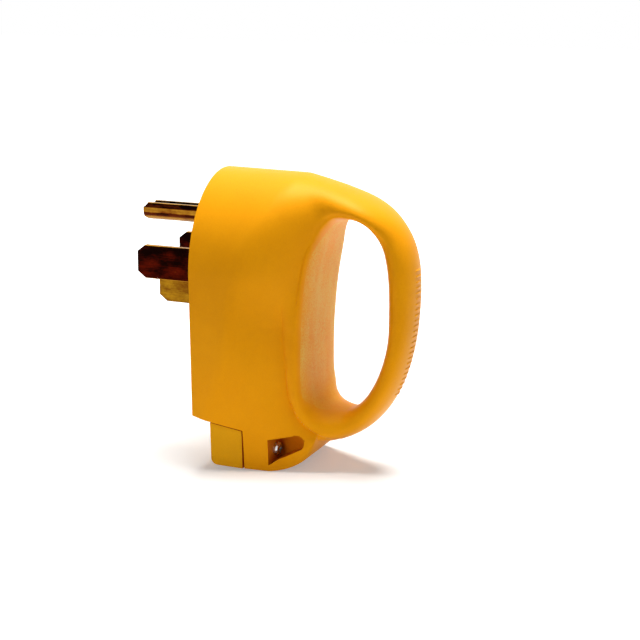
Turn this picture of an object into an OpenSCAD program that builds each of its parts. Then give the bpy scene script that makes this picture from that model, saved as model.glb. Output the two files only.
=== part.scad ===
// Rewireable 50 A plug head with a pull handle, four blades and a clamped cord outlet.
// X runs from the blades (-X) to the handle (+X), Z is up. The origin lies on the mating
// face, midway between the two line blades. All sizes are in millimetres.

/* [Front outline] */
// Width of the housing at the top of its straight sides
body_w = 80.2; // [74:0.2:88]
// Height of the crown above the line blades' centre
body_top = 45; // [42:0.2:50]
// Depth of the bottom edge below the line blades' centre
body_bottom = 68.4; // [64:0.2:74]
// Narrowing of each side per millimetre below the crown's springing line
side_draft = 0.035; // [0:0.005:0.06]
// Thickness of the rim round the face insert
rim_wall = 3.1; // [2.4:0.1:4]
// Least thickness of the shell behind the rim
shell_wall = 3; // [2.4:0.1:4]

/* [Handle] */
// Reach of the handle behind the mating face
handle_reach = 98; // [96:0.2:101]
// Length of the straight top behind the mating face
top_run = 41; // [36:1:44]
// Height of the finger opening
opening_h = 91.2; // [88:0.2:96]
// Depth of the body, from the mating face to the finger opening
body_depth = 48.8; // [47:0.1:51]
// Thickness of the grip, from the opening to its outer face
grip_t = 13; // [11:0.2:14]
// Width of the grip
grip_w = 25; // [22:0.5:28]
// Width of the hoop where it grows out of the housing
hoop_w = 48.6; // [44:0.2:52]

/* [Cord outlet] */
// Diameter of the cord that the outlet clamps
cord_d = 25; // [20:0.5:26]
// Distance from the mating face to the cord's centre and the clamp's parting plane
cord_x = 23.1; // [22:0.1:25]
// Depth of the outlet's lower end below the line blades' centre
neck_bottom = 95; // [92:0.2:98]
// Thickness of the clamp from front to back
clamp_t = 15.4; // [15:0.1:16.4]
// Distance between the two clamp screws
clamp_screw_pitch = 34; // [33:0.5:37]
// Gap between the tightened clamp and the housing
clamp_gap = 0.5; // [0.3:0.1:0.8]

/* [Blades] */
// Distance between the two line blades
line_pitch = 42; // [40:0.5:44]
// Thickness of the flat blades
blade_t = 2; // [1.6:0.1:2.4]
// Height of the line blades
line_blade_h = 16.1; // [15:0.1:17]
// Height of the neutral blade
neutral_blade_h = 15.1; // [14:0.1:16]
// Depth of the neutral blade's centre below the line blades' centre
neutral_drop = 16.1; // [15:0.1:17]
// Reach of the flat blades beyond the mating face
blade_reach = 36.8; // [34:0.2:40]
// Height of the ground pin's centre above the line blades' centre
ground_rise = 21.3; // [20.5:0.1:22]
// Outer width of the U-shaped ground pin
ground_w = 9.14; // [8.6:0.02:9.6]
// Outer height of the U-shaped ground pin
ground_h = 8.75; // [8.2:0.05:9.2]
// Wall of the ground pin
ground_wall = 1.4; // [1.2:0.1:1.8]
// Reach of the ground pin beyond the mating face
ground_reach = 43.2; // [40:0.2:46]

/* [Inner parts] */
// Thickness of the face insert
insert_t = 6; // [5:0.2:7]
// Clearance round the face insert
insert_gap = 0.25; // [0.15:0.05:0.35]
// Thickness of the terminal block
block_t = 10; // [9:0.2:11]
// Thickness of the brass terminal plates
plate_t = 2; // [1.6:0.1:2.4]
// Side of the square wire clamps
wire_clamp_w = 12; // [11:0.2:12.6]
// Lift of a wire clamp when its screw is run back
wire_clamp_lift = 5; // [4:0.5:5.5]
// Distance between the two face screws
face_screw_pitch = 36.4; // [34:0.2:38]
// Height of the face screws above the line blades' centre
face_screw_z = 20.9; // [19.5:0.1:22]

/* [Fasteners] */
// Diameter of the clamp screws
clamp_screw_d = 4.17; // [3.8:0.01:4.4]
// Diameter of the clamp screws' heads
clamp_head_d = 7; // [6.6:0.1:7.6]
// Width across the flats of the clamp nuts
nut_af = 8.7; // [8.4:0.1:9]
// Diameter of the terminal screws
terminal_screw_d = 4.83; // [4.4:0.01:5]
// Diameter of the terminal screws' heads
terminal_head_d = 9; // [8.4:0.1:9.4]
// Diameter of the face and block screws
small_screw_d = 3.5; // [3.2:0.1:3.8]
// Diameter of the face and block screws' heads
small_head_d = 7.2; // [6.8:0.1:7.4]

/* [Hidden] */

$fn = 64;
eps = 0.01;

// running clearances
shaft_clear = 0.05;   // round a shank in its thread
pass_clear = 0.3;     // round a shank in a pass hole
slot_clear = 0.3;     // round a blade in its slot

// front outline
crown_z = -0.8;                         // springing line of the half-ellipse crown
crown_h = body_top - crown_z;
body_half = body_w / 2;

// clamp and neck
parting_x = cord_x;
neck_corner_x = cord_x + 10.9;          // front wall of the screwdriver recesses
clamp_front_x = parting_x - clamp_gap / 2 - clamp_t;
bottom_slope = 0.277;                   // fall of the housing's underside per millimetre
parting_z = -body_bottom - bottom_slope * parting_x;
foot_rise = 0.085;                       // rise of the outlet's underside towards the blades
function foot_z(x) = -neck_bottom + foot_rise * (neck_corner_x - x);
waist = 0.333;                          // plan taper of each side at the neck
clamp_screw_z = -neck_bottom + 8.9;
clamp_screw_y = clamp_screw_pitch / 2;
cord_r = cord_d / 2;
nut_t = 3.2;
nut_seat_x = parting_x - clamp_gap / 2 - 6;   // floor of the nut pockets
clamp_tip_x = clamp_front_x + 1.5;            // tips of the clamp screws
clamp_head_t = 2.4;
small_head_t = 2.4;
face_screw_grip = 15;                         // length of a face screw inside its boss
block_screw_tip_x = 2;

// inner stack, from the mating face inwards
seat_x = insert_t;
block_x = seat_x + block_t;
plate_x = block_x + plate_t;
wire_gap = 0.3;
wire_clamp_t = 1.8;
wire_clamp_x = plate_x + wire_gap;
head_x = wire_clamp_x + wire_clamp_t;
terminal_head_t = 2.8;
terminal_tip_x = block_x - wire_clamp_lift - 1;
terminal_drop = 14;                     // from a blade's edge line to its screw
line_screw_z = -line_blade_h / 2 - terminal_drop;
neutral_screw_z = -neutral_drop - neutral_blade_h / 2 - terminal_drop / 2 - 0.9;
ground_screw_z = ground_rise + ground_h / 2 + 7;
plate_w = wire_clamp_w;
chamber_top = body_top - shell_wall - 1;
chamber_floor = body_bottom - 4.4;
chamber_end_top = 16;                   // the same two at the chamber's inner end
chamber_end_floor = 56;
boss_r = 4.3;
ear_x = seat_x;
ear_t = 2;
ear_h = 2.5;

housing_yellow = [0.94, 0.66, 0.10];
insert_yellow = [0.84, 0.60, 0.12];
insulator_black = [0.12, 0.12, 0.13];
brass = [0.72, 0.56, 0.25];
steel = [0.75, 0.75, 0.76];

// ---- curves and blends ----

function mix(a, b, f) = a + (b - a) * f;
function smooth(f) = let (c = min(max(f, 0), 1)) c * c * (3 - 2 * c);
// Quarter-circle rounding: 0 at the edge, 1 from one radius inwards
function rounding(f) = let (c = min(max(f, 0), 1)) sqrt(max(0, 1 - (1 - c) * (1 - c)));
function bezier(p, t) = pow(1 - t, 3) * p[0] + 3 * pow(1 - t, 2) * t * p[1]
    + 3 * (1 - t) * t * t * p[2] + t * t * t * p[3];
function signed_power(v, e) = sign(v) * pow(abs(v), e);

// ---- the housing as one ring loft round the finger opening ----
// Each station is a straight cut from the opening's edge to the outer outline, seen from the
// side. The half-width along the cut comes from the flank, the hoop's front leg and the two
// rounded edges, so body, hoop, grip and neck flow into each other.

opening_z = -27;
opening_top = 0.5695 * opening_h;
opening_foot = opening_h - opening_top;
opening_d = handle_reach - grip_t - body_depth;
opening_front = 0.4535 * opening_d;
opening_back = opening_d - opening_front;
opening_x = body_depth + opening_front;
front_drop = 15;        // the front wall is foremost this much below the middle
chamber_end = body_depth - 4;
// fullness of the four quarters of the opening, from the upper front round to the upper back
quarter_full = [2.25, 3.6, 1.65, 2.9];

function opening_point(a) =
    let (
        ca = cos(a), sa = sin(a),
        n = ca < 0 ? (sa > 0 ? quarter_full[0] : quarter_full[1])
                   : (sa < 0 ? quarter_full[2] : quarter_full[3]),
        drop = ca < 0 ? front_drop : 0
    )
    [opening_x + (ca < 0 ? opening_front : opening_back) * signed_power(ca, 2 / n),
     opening_z - drop + (sa > 0 ? opening_top + drop : opening_foot - drop) * signed_power(sa, 2 / n)];

grip_z = -8;
grip_run = 42;          // reach of the lower curve's straight start below that height
grip_rise = 31;         // the same for the upper curve's straight end
root = [opening_x - 11.4, opening_z - opening_foot - 17.1];
crease = [top_run, body_top - 0.65];
upper_curve = [crease, crease + 46.5 * [cos(11.8), -sin(11.8)],
               [handle_reach, grip_z + grip_rise], [handle_reach, grip_z]];
lower_curve = [[handle_reach, grip_z], [handle_reach, grip_z - grip_run],
               root + 30 * [cos(6.5), sin(6.5)], root];
neck_back_curve = [root, root + [-1.4, -5.5], [neck_corner_x + 10.6, 0.5 - neck_bottom],
                   [neck_corner_x, -neck_bottom]];

// Station counts along each stretch of the outer outline
side_n = 6;
crown_n = 9;
top_n = 6;
upper_n = 14;
lower_n = 13;
neck_back_n = 6;
neck_bottom_n = 2;
parting_n = 4;
under_n = 4;

// Each outer point carries [x, z, stretch, fraction along the stretch]
function stretch(points, kind, n) = [for (i = [0:n - 1])
    let (f = i / n, p = len(points) == 4 ? bezier(points, f) : mix(points[0], points[1], f))
    [p[0], p[1], kind, f]];
FRONT = 0;
TOP = 1;
UPPER = 2;
LOWER = 3;
NECK_BACK = 4;
UNDER = 5;
outline = concat(
    stretch([[0, -body_bottom], [0, crown_z]], FRONT, side_n),
    [for (i = [0:crown_n - 1]) [0, crown_z + crown_h * sin(90 * i / crown_n), FRONT, 0]],
    stretch([[0, body_top], crease], TOP, top_n),
    stretch(upper_curve, UPPER, upper_n),
    stretch(lower_curve, LOWER, lower_n),
    stretch(neck_back_curve, NECK_BACK, neck_back_n),
    stretch([[neck_corner_x, -neck_bottom], [parting_x, foot_z(parting_x)]], UNDER, neck_bottom_n),
    stretch([[parting_x, foot_z(parting_x)], [parting_x, parting_z]], UNDER, parting_n),
    stretch([[parting_x, parting_z], [0, -body_bottom]], UNDER, under_n));
station_n = len(outline);

// Matching angle on the opening for an outer point
extent_front = opening_x;
extent_back = handle_reach - opening_x;
extent_top = body_top - opening_z;
extent_foot = neck_bottom + opening_z;
function inner_point(o) = opening_point(atan2(
    (o[1] - opening_z) / (o[1] > opening_z ? extent_top : extent_foot),
    (o[0] - opening_x) / (o[0] < opening_x ? extent_front : extent_back)));

// Share of the plain grip in a station: 0 on the body, 1 on the grip
function grip_share(o) = o[2] == UPPER ? smooth(o[3] / 0.62)
    : o[2] == LOWER ? 1 - smooth((o[3] - 0.62) / 0.38) : 0;
// Forward edge of the tapered rear flank at a height z: the soft crease on the housing's side,
// which runs in towards the neck and leans back above its bend
crease_reach = 17.5;
crease_lean = 0.36;
crease_bend_z = -18;
function crease_x(z) = crease_reach * smooth((z + neck_bottom + 3) / 72)
    + crease_lean * (z - crease_bend_z + norm([z - crease_bend_z, 8])) / 2;
// Round of the crease, tighter at the top, and the distance behind it eased over that round
function crease_round(z) = mix(3, 0.8, smooth((z - 8) / 24));
function behind_crease(d, r) = d < -r ? 0 : d > r ? d : (d + r) * (d + r) / (4 * r);
// Half-width of the flank, straight as far as the crease and tapered behind it
function flank(x, z) =
    let (d = x - crease_x(z), r = crease_round(z))
    body_half - side_draft * max(0, crown_z - z) - waist * (crease_x(z) > r ? behind_crease(d, r) : max(0, d));
// Share of the cut at which it crosses the crease
function crease_guess(o, p, s) = (p[0] - crease_x(mix(p[1], o[1], s))) / (p[0] - o[0]);
function crease_share(o, p) = o[2] == UPPER ? mix(0.93, 0.6, smooth(o[3] / 0.5))
    : o[2] == LOWER ? 0.6
    : o[2] == NECK_BACK ? mix(0.6, 0.93, o[3])
    : min(0.93, crease_guess(o, p, crease_guess(o, p, crease_guess(o, p, 0.5))));
// Smaller of two widths, with a round of size k where they meet
function round_min(a, b, k) =
    let (h = max(k - abs(a - b), 0) / k)
    min(a, b) - h * h * k / 4;
function round_max(a, b, k) = -round_min(-a, -b, k);
// Wall of the opening: nearly flat across with a tight round at each edge, or a half ellipse
function wall_round(f, n) = let (c = min(max(f, 0), 1)) pow(max(0, 1 - pow(1 - c, n)), 1 / n);

rim_n = 5;          // points from the opening to the valley behind the hoop's front leg
flank_n = 4;        // points from the valley to the crease
outer_n = 5;        // points from the crease to the outer end of a cut
cut_n = rim_n + flank_n + outer_n;
function cut_share(k, valley_share, sc) =
    k < rim_n ? valley_share * (1 - cos(90 * k / rim_n))
    : k < rim_n + flank_n ? mix(valley_share, sc, (k - rim_n) / flank_n)
    : sc + (1 - sc) * sin(90 * (k - rim_n - flank_n) / outer_n);

// Height of the outer outline above x, by bisection along the upper curve
function upper_share(x, low, high, n) =
    let (m = (low + high) / 2)
    n == 0 ? m : bezier(upper_curve, m)[0] < x ? upper_share(x, m, high, n - 1) : upper_share(x, low, m, n - 1);
function top_z(x) = x < top_run ? mix(body_top, crease[1], x / top_run)
    : bezier(upper_curve, upper_share(x, 0, 1, 16))[1];

rim_depth = 3.4;    // depth of the round at each edge of the opening's wall
brow_depth = 5;     // the same at the top of the opening
root_depth = 7.5;   // the same at the foot of the hoop
leg_reach = 3.6;    // reach of the hoop's front leg at the top of the opening
low_leg_reach = 9.5;
side_slope = 1.1;   // swelling of the side behind the leg
// Half-width of the hoop: wide in front, narrowing along its foot towards the grip
function hoop_half(p, g) = p[1] > opening_z ? mix(hoop_w, grip_w, g) / 2
    : mix(hoop_w, grip_w, smooth((p[0] - opening_x + 19) / 28)) / 2;
// Reach of the hoop's front leg from the opening's edge, at the top and lower down
function foot_reach(p) = p[1] > opening_z ? 0
    : 11 * pow(min(1, max(0, (p[0] - opening_x + 15) / 15.8)), 1.6);
function high_valley(p) = leg_reach + foot_reach(p);
function low_valley(p) = low_leg_reach - 2.4 * smooth((-30 - p[1]) / 30) + foot_reach(p);
function low_part(p) = smooth((-2 - p[1]) / 26);
// Half-width a distance d behind the opening's edge: the hoop's front leg ends in a shallow
// valley, behind which the side swells out as far as the flank
function side_half(hoop, g, flank_half, d, valley) =
    round_max(hoop * rounding((valley + 0.8 - d) / 2),
        round_min(flank_half, hoop + (1 - g) * (side_slope * max(0, d - valley) - 0.7), 9), 0.8);
function half_width(o, p, s) =
    let (
        g = grip_share(o), low = smooth((opening_z - 31 - p[1]) / 9), high = smooth((p[1] - 4) / 16),
        x = mix(p[0], o[0], s), z = mix(p[1], o[1], s), side = flank(x, z),
        cut = norm([o[0] - p[0], o[1] - p[1]]), d = s * cut,
        depth = mix(mix(mix(rim_depth, brow_depth, high), root_depth, low), cut / 2, g),
        fullness = mix(mix(mix(3, 2.3, high), 2.2, low), 2, g),
        hoop = hoop_half(p, g),
        wide = g > 0.999 ? hoop : mix(side_half(hoop, g, side, d, high_valley(p)),
            side_half(hoop, g, side, d, low_valley(p)), low_part(p)),
        q = o[2] == UNDER ? 1
          : o[2] > UPPER ? mix(2, o[2] == NECK_BACK ? sqrt(o[3]) : 0, s)
          : mix((top_z(x) - z) / crown_h, mix(2, 0, s), g)
    )
    wide * wall_round(d / depth, fullness) * rounding(q);

side_points = cut_n + 1;
function station_points(o) =
    let (
        p = inner_point(o), sc = crease_share(o, p),
        valley = mix(high_valley(p), low_valley(p), low_part(p)),
        valley_share = min(0.45, valley / norm([o[0] - p[0], o[1] - p[1]]))
    )
    [for (side = [-1, 1], k = [0:cut_n])
        let (s = cut_share(k, valley_share, sc))
        [mix(p[0], o[0], s), side * half_width(o, p, s), mix(p[1], o[1], s)]];
// A cut that ends in a point, not in a flat end face
function tip(i) = half_width(outline[i], inner_point(outline[i]), 1) < eps;
tips = [for (i = [0:station_n - 1]) tip(i)];
function point_id(i, side, k) =
    i * 2 * side_points + ((k == 0 || (k == cut_n && tips[i])) ? 0 : side * side_points) + k;
// Two triangles over four corners, split along the shorter diagonal
function quad(p, a, b, c, d) = [for (t = norm(p[a] - p[c]) < norm(p[b] - p[d])
        ? [[a, b, c], [a, c, d]] : [[a, b, d], [b, c, d]])
    if (t[0] != t[1] && t[1] != t[2] && t[2] != t[0]) t];

module housing_form() {
    points = [for (o = outline) each station_points(o)];
    faces = [for (i = [0:station_n - 1])
        let (j = (i + 1) % station_n)
        each concat(
            [for (k = [0:cut_n - 1]) each quad(points, point_id(i, 0, k), point_id(i, 0, k + 1),
                point_id(j, 0, k + 1), point_id(j, 0, k))],
            [for (k = [0:cut_n - 1]) each quad(points, point_id(i, 1, k), point_id(j, 1, k),
                point_id(j, 1, k + 1), point_id(i, 1, k + 1))],
            quad(points, point_id(i, 0, cut_n), point_id(i, 1, cut_n),
                point_id(j, 1, cut_n), point_id(j, 0, cut_n)))];
    polyhedron(points, faces, convexity = 6);
}

// ---- outlines shared by the housing, the insert and the block ----

arch_n = 18;
// Front outline drawn in by inset: points are [y, z], counter-clockwise from the lower right
function arch_points(inset) =
    let (
        foot = -body_bottom + inset,
        foot_half = body_half - side_draft * (crown_z - foot) - inset,
        half = body_half - inset, rise = crown_h - inset
    )
    concat([[foot_half, foot]],
        [for (i = [0:arch_n]) let (a = 180 * i / arch_n) [half * cos(a), crown_z + rise * sin(a)]],
        [[-foot_half, foot]]);

// Solid of a [y, z] outline between two values of x
module slab(x0, x1) {
    translate([x0, 0, 0]) rotate([90, 0, 90]) linear_extrude(x1 - x0) children();
}
// Round bar along X between two values of x
module bar(x0, x1, r, y = 0, z = 0) {
    translate([x0, y, z]) rotate([0, 90, 0]) cylinder(h = x1 - x0, r = r);
}
// Closed skin over equal rings of points, first and last ring capped
module skin(rings) {
    m = len(rings[0]);
    n = len(rings);
    polyhedron([for (r = rings) each r], concat(
        [[for (k = [0:m - 1]) k]],
        [for (i = [0:n - 2], k = [0:m - 1])
            let (l = (k + 1) % m)
            each [[i * m + k, (i + 1) * m + k, (i + 1) * m + l], [i * m + k, (i + 1) * m + l, i * m + l]]],
        [[for (k = [m - 1:-1:0]) (n - 1) * m + k]]), convexity = 4);
}

// ---- housing ----

// Wiring chamber: arch sections that follow the flanks inside and draw in towards the hoop
chamber_straight = 20;
chamber_x = [seat_x - 1, 14, 20, 24, 28, 32, 36, 40, chamber_end];
function chamber_half(x, z) = flank(x, z) - shell_wall - 0.5
    - 10 * smooth((x - chamber_straight) / (chamber_end - chamber_straight));
function chamber_ring(x) =
    let (
        f = max(0, (x - 18) / (chamber_end - 18)),
        top = mix(chamber_top, chamber_end_top, pow(f, 2.6)),
        foot = -mix(chamber_floor, chamber_end_floor, pow(f, 1.5))
    )
    concat([[x, chamber_half(x, foot), foot]],
        [for (i = [0:arch_n])
            let (a = 180 * i / arch_n, z = crown_z + (top - crown_z) * sin(a))
            [x, chamber_half(x, z) * cos(a), z]],
        [[x, -chamber_half(x, foot), foot]]);
module chamber() {
    skin([for (x = chamber_x) chamber_ring(x)]);
}

// Screwdriver recess, drawn as its side outline; it runs out through the neck's side
recess_r = 4.7;
recess_l = 9.2;
recess_floor_y = clamp_screw_y - clamp_head_d / 2 - 0.9;
module recess_outline() {
    centre_z = clamp_screw_z + 2.2;
    translate([neck_corner_x + recess_l, centre_z]) circle(recess_r);
    polygon([
        [neck_corner_x, centre_z + recess_r - 0.7],
        [neck_corner_x + recess_l, centre_z + recess_r],
        [neck_corner_x + recess_l + 0.38 * recess_r, centre_z - 0.925 * recess_r],
        [neck_corner_x, centre_z - 0.925 * recess_r - 0.41 * (recess_l + 0.38 * recess_r)]]);
}
module screwdriver_recess(side) {
    start_y = side > 0 ? recess_floor_y : -recess_floor_y - body_half;
    translate([0, start_y + body_half, 0]) rotate([90, 0, 0])
        linear_extrude(body_half) recess_outline();
}

hook_w = 8;
hook_h = 1.8;
hook_y = 20;
hook_t = 3;
module hook_slots() {
    for (y = [-hook_y, hook_y])
        translate([seat_x - hook_t - 0.2, y - hook_w / 2 - 0.2, -body_bottom + rim_wall - hook_h - 0.3])
            cube([hook_t + 0.2, hook_w + 0.4, hook_h + 1]);
}

grip_groove_n = 3;
grip_groove_w = 1.6;
grip_groove_d = 0.8;
// Grooves in the cord bore that bite into the cord's jacket
module cord_grooves() {
    for (i = [0:grip_groove_n - 1])
        translate([cord_x, 0, -neck_bottom + 4 + 4.6 * i])
            cylinder(h = grip_groove_w, r = cord_r + grip_groove_d);
}

module housing() color(housing_yellow) {
    difference() {
        union() {
            difference() {
                housing_form();
                chamber();
            }
            for (side = [-1, 1])
                bar(seat_x, chamber_end - 6, boss_r, side * face_screw_pitch / 2, face_screw_z);
        }
        slab(-1, seat_x) polygon(arch_points(rim_wall));
        for (side = [-1, 1]) {
            bar(seat_x - 1, seat_x + 18, small_screw_d / 2 + shaft_clear,
                side * face_screw_pitch / 2, face_screw_z);
            bar(parting_x - 1, neck_corner_x + 1, clamp_screw_d / 2 + pass_clear,
                side * clamp_screw_y, clamp_screw_z);
            screwdriver_recess(side);
        }
        translate([cord_x, 0, -neck_bottom - 1]) cylinder(h = neck_bottom - chamber_floor + 3, r = cord_r);
        cord_grooves();
        hook_slots();
    }
}

// ---- face insert ----

counterbore_r = 4;
counterbore_t = 2.8;
module blade_slot(y, z, w, h, x0, x1) {
    translate([x0, y - w / 2, z - h / 2]) cube([x1 - x0, w, h]);
}
// Slots that let all four blades through, wider than the blades by play all round
module blade_slots(x0, x1, play) {
    for (side = [-1, 1])
        blade_slot(side * line_pitch / 2, 0, blade_t + 2 * play, line_blade_h + 2 * play, x0, x1);
    blade_slot(0, -neutral_drop, blade_t + 2 * play, neutral_blade_h + 2 * play, x0, x1);
    blade_slot(0, ground_rise, ground_w + 2 * play, ground_h + 2 * play, x0, x1);
}

module face_insert() color(insert_yellow) {
    difference() {
        union() {
            slab(0, seat_x) polygon(arch_points(rim_wall + insert_gap));
            for (y = [-hook_y, hook_y])
                translate([seat_x - hook_t, y - hook_w / 2, -body_bottom + rim_wall + insert_gap - hook_h])
                    cube([hook_t, hook_w, hook_h + 1]);
        }
        blade_slots(-1, seat_x + 1, slot_clear);
        for (side = [-1, 1]) {
            bar(-1, counterbore_t, counterbore_r, side * face_screw_pitch / 2, face_screw_z);
            bar(0, seat_x + 1, small_screw_d / 2 + pass_clear, side * face_screw_pitch / 2, face_screw_z);
        }
        for (z = block_screw_z)
            bar(1.6, seat_x + 1, small_screw_d / 2 + shaft_clear, 0, z);
    }
}

// ---- terminal block ----

block_inset = rim_wall + 6;
block_foot = 52;
block_screw_z = [2, -46];
rib_t = 2;
rib_reach = 9;
rib_y = line_pitch / 4;
rib_top = line_blade_h / 2 + 2;
module terminal_block() color(insulator_black) {
    difference() {
        union() {
            intersection() {
                slab(seat_x, block_x) polygon(arch_points(block_inset));
                translate([0, -body_half, -block_foot]) cube([block_x, body_w, body_w + block_foot]);
            }
            for (side = [-1, 1])
                translate([block_x - 1, side * rib_y - rib_t / 2, -block_foot + 8])
                    cube([rib_reach + 1, rib_t, block_foot - 8 + rib_top]);
            translate([block_x - 1, -line_pitch / 2, rib_top])
                cube([rib_reach + 1, line_pitch, rib_t]);
        }
        blade_slots(seat_x - 1, block_x + 1, slot_clear / 2);
        // pockets for the blades' stop ears
        for (side = [-1, 1])
            blade_slot(side * line_pitch / 2, 0, blade_t + slot_clear,
                line_blade_h + 2 * ear_h + slot_clear, seat_x - 1, ear_x + ear_t + 0.1);
        blade_slot(0, -neutral_drop, blade_t + slot_clear,
            neutral_blade_h + 2 * ear_h + slot_clear, seat_x - 1, ear_x + ear_t + 0.1);
        blade_slot(0, ground_rise, ground_w + 2 * ear_h + slot_clear, ground_wall + slot_clear,
            seat_x - 1, ear_x + ear_t + 0.1);
        for (side = [-1, 1])
            bar(seat_x - 1, block_x + 1, boss_r + 0.4, side * face_screw_pitch / 2, face_screw_z);
        for (t = terminals)
            bar(terminal_tip_x - 1, block_x + 1, terminal_screw_d / 2 + pass_clear, t[0], t[1]);
        for (z = block_screw_z)
            bar(seat_x - 1, block_x + 1, small_screw_d / 2 + pass_clear, 0, z);
    }
}

// ---- blades, each with its terminal plate staked on ----

// Screw centres [y, z] of the ground, neutral, left and right terminals
terminals = [
    [0, ground_screw_z],
    [0, neutral_screw_z],
    [-line_pitch / 2, line_screw_z],
    [line_pitch / 2, line_screw_z]
];
tip_l = 4.2;
tip_h = 3.2;
// Side outline of a flat blade of height h, from its tip to its terminal plate
function blade_outline(h) = [
    [-blade_reach, h / 2 - tip_h], [-blade_reach + tip_l, h / 2],
    [ear_x, h / 2], [ear_x, h / 2 + ear_h], [ear_x + ear_t, h / 2 + ear_h], [ear_x + ear_t, h / 2],
    [plate_x, h / 2], [plate_x, -h / 2],
    [ear_x + ear_t, -h / 2], [ear_x + ear_t, -h / 2 - ear_h], [ear_x, -h / 2 - ear_h], [ear_x, -h / 2],
    [-blade_reach + tip_l, -h / 2], [-blade_reach, -h / 2 + tip_h]
];
// Terminal plate from a low to a high edge, with the tapped hole for its screw
module terminal_plate(y, low, high, t) {
    difference() {
        translate([block_x, y - plate_w / 2, low]) cube([plate_t, plate_w, high - low]);
        bar(block_x - 1, plate_x + 1, terminal_screw_d / 2 + shaft_clear, t[0], t[1]);
    }
}
module flat_blade(y, z, h, t) color(brass) {
    translate([0, y + blade_t / 2, z]) rotate([90, 0, 0]) linear_extrude(blade_t) polygon(blade_outline(h));
    terminal_plate(y, t[1] - plate_w / 2, z + h / 2, t);
}
module neutral_blade() flat_blade(0, -neutral_drop, neutral_blade_h, terminals[1]);
module line_blade_left() flat_blade(-line_pitch / 2, 0, line_blade_h, terminals[2]);
module line_blade_right() flat_blade(line_pitch / 2, 0, line_blade_h, terminals[3]);

// U section of the ground pin, open at the top
module u_outline() {
    r = ground_w / 2;
    rise = ground_h - r;
    difference() {
        union() {
            circle(r);
            translate([-r, 0]) square([ground_w, rise]);
        }
        circle(r - ground_wall);
        translate([-r + ground_wall, 0]) square([ground_w - 2 * ground_wall, rise + 1]);
    }
}
module ground_pin() color(brass) {
    foot = ground_rise - ground_h / 2 + ground_w / 2;
    difference() {
        translate([0, 0, foot]) slab(-ground_reach, plate_x) u_outline();
        // the tip is chamfered above and below
        translate([-ground_reach, -ground_w, ground_rise + ground_h / 2]) rotate([0, 45, 0])
            translate([-2, 0, -1.6]) cube([4, 2 * ground_w, 3.2]);
        translate([-ground_reach, -ground_w, ground_rise - ground_h / 2]) rotate([0, 45, 0])
            translate([-2, 0, -1.2]) cube([4, 2 * ground_w, 2.4]);
    }
    for (side = [-1, 1])
        translate([ear_x, side * (ground_w / 2 + ear_h / 2 - 0.2) - ear_h / 2 - 0.2, ground_rise - ground_wall / 2])
            cube([ear_t, ear_h + 0.4, ground_wall]);
    terminal_plate(0, ground_rise - ground_h / 2, terminals[0][1] + plate_w / 2 - 1, terminals[0]);
}

// ---- wire clamps and terminal screws ----

module wire_clamp(t) color(steel) {
    difference() {
        intersection() {
            translate([wire_clamp_x, t[0] - wire_clamp_w / 2, t[1] - wire_clamp_w / 2 + 0.5])
                cube([wire_clamp_t, wire_clamp_w, wire_clamp_w - 1]);
            bar(wire_clamp_x - 1, head_x + 1, 0.62 * wire_clamp_w, t[0], t[1]);
        }
        bar(wire_clamp_x - 1, head_x + 1, terminal_screw_d / 2 + pass_clear, t[0], t[1]);
        // cross grooves that bite on the wire
        for (side = [-1, 1])
            translate([wire_clamp_x - eps, t[0] + side * 3.9 - 0.5, t[1] - wire_clamp_w])
                cube([0.5, 1, 2 * wire_clamp_w]);
    }
}
module ground_wire_clamp() wire_clamp(terminals[0]);
module neutral_wire_clamp() wire_clamp(terminals[1]);
module line_wire_clamp_left() wire_clamp(terminals[2]);
module line_wire_clamp_right() wire_clamp(terminals[3]);

// Cross recess of a screw head that faces +X at x
module cross_recess(x, y, z, w, depth) {
    translate([x - depth, y - w / 2, z - w / 8]) cube([depth + 1, w, w / 4]);
    translate([x - depth, y - w / 8, z - w / 2]) cube([depth + 1, w / 4, w]);
}
// Pan-head screw along X whose head faces +X: seat at x, tip at tip_x
module pan_screw(tip_x, x, y, z, shank_d, head_d, head_t) color(steel) {
    difference() {
        union() {
            bar(tip_x, x + eps, shank_d / 2, y, z);
            translate([x, y, z]) rotate([0, 90, 0]) rotate_extrude()
                polygon([[0, 0], [head_d / 2, 0], [head_d / 2, 0.5 * head_t],
                         [0.42 * head_d, 0.82 * head_t], [0.28 * head_d, head_t], [0, head_t]]);
        }
        cross_recess(x + head_t, y, z, 0.55 * head_d, 0.55 * head_t);
    }
}
module terminal_screw(t) pan_screw(terminal_tip_x, head_x, t[0], t[1],
    terminal_screw_d, terminal_head_d, terminal_head_t);
module ground_terminal_screw() terminal_screw(terminals[0]);
module neutral_terminal_screw() terminal_screw(terminals[1]);
module line_terminal_screw_left() terminal_screw(terminals[2]);
module line_terminal_screw_right() terminal_screw(terminals[3]);

// ---- fixing screws ----

module face_screws() {
    for (side = [-1, 1])
        mirror([1, 0, 0]) pan_screw(-seat_x - face_screw_grip, -counterbore_t,
            side * face_screw_pitch / 2, face_screw_z, small_screw_d, small_head_d, small_head_t);
}
module block_screws() {
    for (z = block_screw_z)
        pan_screw(block_screw_tip_x, block_x, 0, z, small_screw_d, small_head_d, small_head_t);
}

// ---- cord clamp, its screws and nuts ----

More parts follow.
